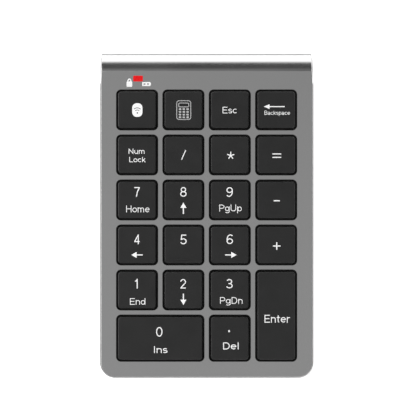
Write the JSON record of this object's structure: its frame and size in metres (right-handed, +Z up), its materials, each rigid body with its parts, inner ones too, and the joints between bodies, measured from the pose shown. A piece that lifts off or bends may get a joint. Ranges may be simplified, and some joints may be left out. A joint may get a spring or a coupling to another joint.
{
  "type": "numeric keypad",
  "caption": "Slim wireless numeric keypad: metal deck with low square keys, a wide zero and tall enter key, and a round battery tube along the rear.",
  "frame": {"origin": "middle of the underside, on the surface that the feet stand on", "axes": "+X to the right as seen by the person typing, +Y to the rear where the battery tube is, +Z up"},
  "size_m": [0.088, 0.1336, 0.0168],
  "materials": {
    "anodised_aluminium": "fine bead-blasted, anodised dark grey",
    "cap_aluminium": "turned and anodised black",
    "shell_plastic": "fine moulded grain",
    "end_plastic": "fine moulded grain",
    "button_plastic": "smooth satin",
    "key_plastic": "satin with a very fine grain",
    "frame_plastic": "as moulded",
    "foot_rubber": "matt",
    "dome_silicone": "translucent, matt",
    "membrane_film": "clear film with printed tracks",
    "plate_steel": "rolled",
    "board_laminate": "green solder mask",
    "indicator_red": "clear, lit red",
    "cell_jacket": "printed film",
    "contact_metal": "nickel plated",
    "screw_steel": "black zinc",
    "wire_steel": "drawn wire"
  },
  "bodies": {
    "case": {"top_cover": "anodised_aluminium", "bottom_shell": "shell_plastic", "tube_end_plug": "end_plastic", "rubber_feet": "foot_rubber", "guide_frame": "frame_plastic", "membrane": "membrane_film", "backing_plate": "plate_steel", "circuit_board": "board_laminate", "indicator_lens": "indicator_red", "battery_cell": "cell_jacket", "battery_contacts": "contact_metal", "case_screws": "screw_steel", "dome_wireless": "dome_silicone", "dome_calculator": "dome_silicone", "dome_escape": "dome_silicone", "dome_backspace": "dome_silicone", "dome_num_lock": "dome_silicone", "dome_divide": "dome_silicone", "dome_multiply": "dome_silicone", "dome_equals": "dome_silicone", "dome_7": "dome_silicone", "dome_8": "dome_silicone", "dome_9": "dome_silicone", "dome_minus": "dome_silicone", "dome_4": "dome_silicone", "dome_5": "dome_silicone", "dome_6": "dome_silicone", "dome_plus": "dome_silicone", "dome_1": "dome_silicone", "dome_2": "dome_silicone", "dome_3": "dome_silicone", "dome_enter": "dome_silicone", "dome_0": "dome_silicone", "dome_decimal": "dome_silicone"},
    "key_wireless": {"key_wireless": "key_plastic"},
    "key_calculator": {"key_calculator": "key_plastic"},
    "key_escape": {"key_escape": "key_plastic"},
    "key_backspace": {"key_backspace": "key_plastic"},
    "key_num_lock": {"key_num_lock": "key_plastic"},
    "key_divide": {"key_divide": "key_plastic"},
    "key_multiply": {"key_multiply": "key_plastic"},
    "key_equals": {"key_equals": "key_plastic"},
    "key_7": {"key_7": "key_plastic"},
    "key_8": {"key_8": "key_plastic"},
    "key_9": {"key_9": "key_plastic"},
    "key_minus": {"key_minus": "key_plastic"},
    "key_4": {"key_4": "key_plastic"},
    "key_5": {"key_5": "key_plastic"},
    "key_6": {"key_6": "key_plastic"},
    "key_plus": {"key_plus": "key_plastic"},
    "key_1": {"key_1": "key_plastic"},
    "key_2": {"key_2": "key_plastic"},
    "key_3": {"key_3": "key_plastic"},
    "key_enter": {"key_enter": "key_plastic"},
    "key_0": {"key_0": "key_plastic"},
    "key_decimal": {"key_decimal": "key_plastic"},
    "stabiliser_0": {"stabiliser_0": "wire_steel"},
    "stabiliser_enter": {"stabiliser_enter": "wire_steel"},
    "power_button": {"power_button": "button_plastic"},
    "battery_cap": {"battery_cap": "cap_aluminium"}
  },
  "joints": [
    {"name": "key_wireless_press", "type": "slide", "parent": "case", "child": "key_wireless", "axis": [0, 0.0661, -0.9978], "range_m": [0, 0.0018], "stiffness_N_per_m": 250, "springref_m": -0.0006, "deforming": ["dome_wireless"]},
    {"name": "key_calculator_press", "type": "slide", "parent": "case", "child": "key_calculator", "axis": [0, 0.0661, -0.9978], "range_m": [0, 0.0018], "stiffness_N_per_m": 250, "springref_m": -0.0006, "deforming": ["dome_calculator"]},
    {"name": "key_escape_press", "type": "slide", "parent": "case", "child": "key_escape", "axis": [0, 0.0661, -0.9978], "range_m": [0, 0.0018], "stiffness_N_per_m": 250, "springref_m": -0.0006, "deforming": ["dome_escape"]},
    {"name": "key_backspace_press", "type": "slide", "parent": "case", "child": "key_backspace", "axis": [0, 0.0661, -0.9978], "range_m": [0, 0.0018], "stiffness_N_per_m": 250, "springref_m": -0.0006, "deforming": ["dome_backspace"]},
    {"name": "key_num_lock_press", "type": "slide", "parent": "case", "child": "key_num_lock", "axis": [0, 0.0661, -0.9978], "range_m": [0, 0.0018], "stiffness_N_per_m": 250, "springref_m": -0.0006, "deforming": ["dome_num_lock"]},
    {"name": "key_divide_press", "type": "slide", "parent": "case", "child": "key_divide", "axis": [0, 0.0661, -0.9978], "range_m": [0, 0.0018], "stiffness_N_per_m": 250, "springref_m": -0.0006, "deforming": ["dome_divide"]},
    {"name": "key_multiply_press", "type": "slide", "parent": "case", "child": "key_multiply", "axis": [0, 0.0661, -0.9978], "range_m": [0, 0.0018], "stiffness_N_per_m": 250, "springref_m": -0.0006, "deforming": ["dome_multiply"]},
    {"name": "key_equals_press", "type": "slide", "parent": "case", "child": "key_equals", "axis": [0, 0.0661, -0.9978], "range_m": [0, 0.0018], "stiffness_N_per_m": 250, "springref_m": -0.0006, "deforming": ["dome_equals"]},
    {"name": "key_7_press", "type": "slide", "parent": "case", "child": "key_7", "axis": [0, 0.0661, -0.9978], "range_m": [0, 0.0018], "stiffness_N_per_m": 250, "springref_m": -0.0006, "deforming": ["dome_7"]},
    {"name": "key_8_press", "type": "slide", "parent": "case", "child": "key_8", "axis": [0, 0.0661, -0.9978], "range_m": [0, 0.0018], "stiffness_N_per_m": 250, "springref_m": -0.0006, "deforming": ["dome_8"]},
    {"name": "key_9_press", "type": "slide", "parent": "case", "child": "key_9", "axis": [0, 0.0661, -0.9978], "range_m": [0, 0.0018], "stiffness_N_per_m": 250, "springref_m": -0.0006, "deforming": ["dome_9"]},
    {"name": "key_minus_press", "type": "slide", "parent": "case", "child": "key_minus", "axis": [0, 0.0661, -0.9978], "range_m": [0, 0.0018], "stiffness_N_per_m": 250, "springref_m": -0.0006, "deforming": ["dome_minus"]},
    {"name": "key_4_press", "type": "slide", "parent": "case", "child": "key_4", "axis": [0, 0.0661, -0.9978], "range_m": [0, 0.0018], "stiffness_N_per_m": 250, "springref_m": -0.0006, "deforming": ["dome_4"]},
    {"name": "key_5_press", "type": "slide", "parent": "case", "child": "key_5", "axis": [0, 0.0661, -0.9978], "range_m": [0, 0.0018], "stiffness_N_per_m": 250, "springref_m": -0.0006, "deforming": ["dome_5"]},
    {"name": "key_6_press", "type": "slide", "parent": "case", "child": "key_6", "axis": [0, 0.0661, -0.9978], "range_m": [0, 0.0018], "stiffness_N_per_m": 250, "springref_m": -0.0006, "deforming": ["dome_6"]},
    {"name": "key_plus_press", "type": "slide", "parent": "case", "child": "key_plus", "axis": [0, 0.0661, -0.9978], "range_m": [0, 0.0018], "stiffness_N_per_m": 250, "springref_m": -0.0006, "deforming": ["dome_plus"]},
    {"name": "key_1_press", "type": "slide", "parent": "case", "child": "key_1", "axis": [0, 0.0661, -0.9978], "range_m": [0, 0.0018], "stiffness_N_per_m": 250, "springref_m": -0.0006, "deforming": ["dome_1"]},
    {"name": "key_2_press", "type": "slide", "parent": "case", "child": "key_2", "axis": [0, 0.0661, -0.9978], "range_m": [0, 0.0018], "stiffness_N_per_m": 250, "springref_m": -0.0006, "deforming": ["dome_2"]},
    {"name": "key_3_press", "type": "slide", "parent": "case", "child": "key_3", "axis": [0, 0.0661, -0.9978], "range_m": [0, 0.0018], "stiffness_N_per_m": 250, "springref_m": -0.0006, "deforming": ["dome_3"]},
    {"name": "key_enter_press", "type": "slide", "parent": "case", "child": "key_enter", "axis": [0, 0.0661, -0.9978], "range_m": [0, 0.0018], "stiffness_N_per_m": 250, "springref_m": -0.0006, "deforming": ["dome_enter"]},
    {"name": "key_0_press", "type": "slide", "parent": "case", "child": "key_0", "axis": [0, 0.0661, -0.9978], "range_m": [0, 0.0018], "stiffness_N_per_m": 250, "springref_m": -0.0006, "deforming": ["dome_0"]},
    {"name": "key_decimal_press", "type": "slide", "parent": "case", "child": "key_decimal", "axis": [0, 0.0661, -0.9978], "range_m": [0, 0.0018], "stiffness_N_per_m": 250, "springref_m": -0.0006, "deforming": ["dome_decimal"]},
    {"name": "stabiliser_0_turn", "type": "hinge", "parent": "case", "child": "stabiliser_0", "pos_m": [-0.01905, -0.04558, 0.00645], "axis": [1, 0, 0], "range_deg": [0, 17.25]},
    {"name": "stabiliser_enter_turn", "type": "hinge", "parent": "case", "child": "stabiliser_enter", "pos_m": [0.02378, -0.04113, 0.00675], "axis": [0, 0.9978, 0.0661], "range_deg": [0, 17.25]},
    {"name": "power_button_press", "type": "slide", "parent": "case", "child": "power_button", "axis": [1, 0, 0], "range_m": [0, 0.0005], "stiffness_N_per_m": 1500, "springref_m": -0.0003},
    {"name": "battery_cap_pull", "type": "slide", "parent": "case", "child": "battery_cap", "axis": [1, 0, 0], "range_m": [0, 0.012]}
  ],
  "couplings": [
    {"joint": "stabiliser_0_turn", "follows": "key_0_press", "rad_per_m": 167.3},
    {"joint": "stabiliser_enter_turn", "follows": "key_enter_press", "rad_per_m": 167.3}
  ]
}
